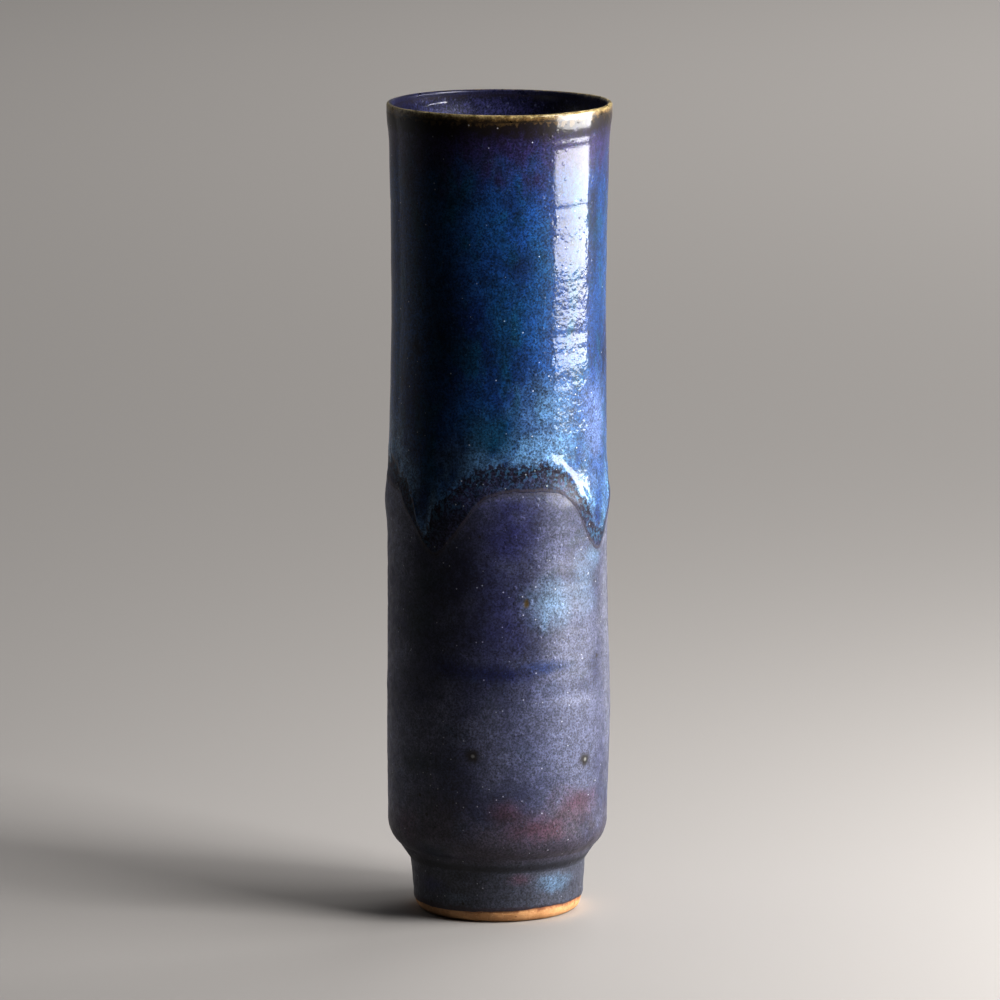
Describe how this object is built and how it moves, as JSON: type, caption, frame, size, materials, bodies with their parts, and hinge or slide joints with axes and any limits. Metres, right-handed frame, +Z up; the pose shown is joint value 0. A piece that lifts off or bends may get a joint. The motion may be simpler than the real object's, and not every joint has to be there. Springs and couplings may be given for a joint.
{
  "type": "stoneware vase",
  "caption": "Tall cylindrical stoneware vase with a flared lip, a joined ridge round its middle, a narrower foot ring and a poured upper glaze ending in a scalloped line.",
  "frame": {"origin": "centre of the foot, on the surface that the vase stands on", "axes": "+Z up along the vase's axis, out of its mouth; -Y is the front of the vase; +X completes a right-handed frame"},
  "size_m": [0.0844, 0.084, 0.3],
  "materials": {
    "bare_clay": "matt, unglazed iron-bearing stoneware, orange tan",
    "liner_glaze": "glossy dark blue-violet glaze",
    "lower_glaze": "satin mottled violet, grey-blue and plum glaze with iron spots",
    "overlap_glaze": "glossy brown-black band speckled blue, where the two glazes overlap",
    "upper_glaze": "glossy deep blue glaze, broken with teal and dark speckle",
    "rim_glaze": "glossy tan, where the glaze runs thin over the lip"
  },
  "bodies": {
    "root": {"foot_ring": "bare_clay", "lower_section": "bare_clay", "upper_section": "bare_clay", "liner_glaze": "liner_glaze", "lower_glaze": "lower_glaze", "overlap_glaze": "overlap_glaze", "upper_glaze": "upper_glaze", "rim_glaze": "rim_glaze"}
  },
  "joints": []
}
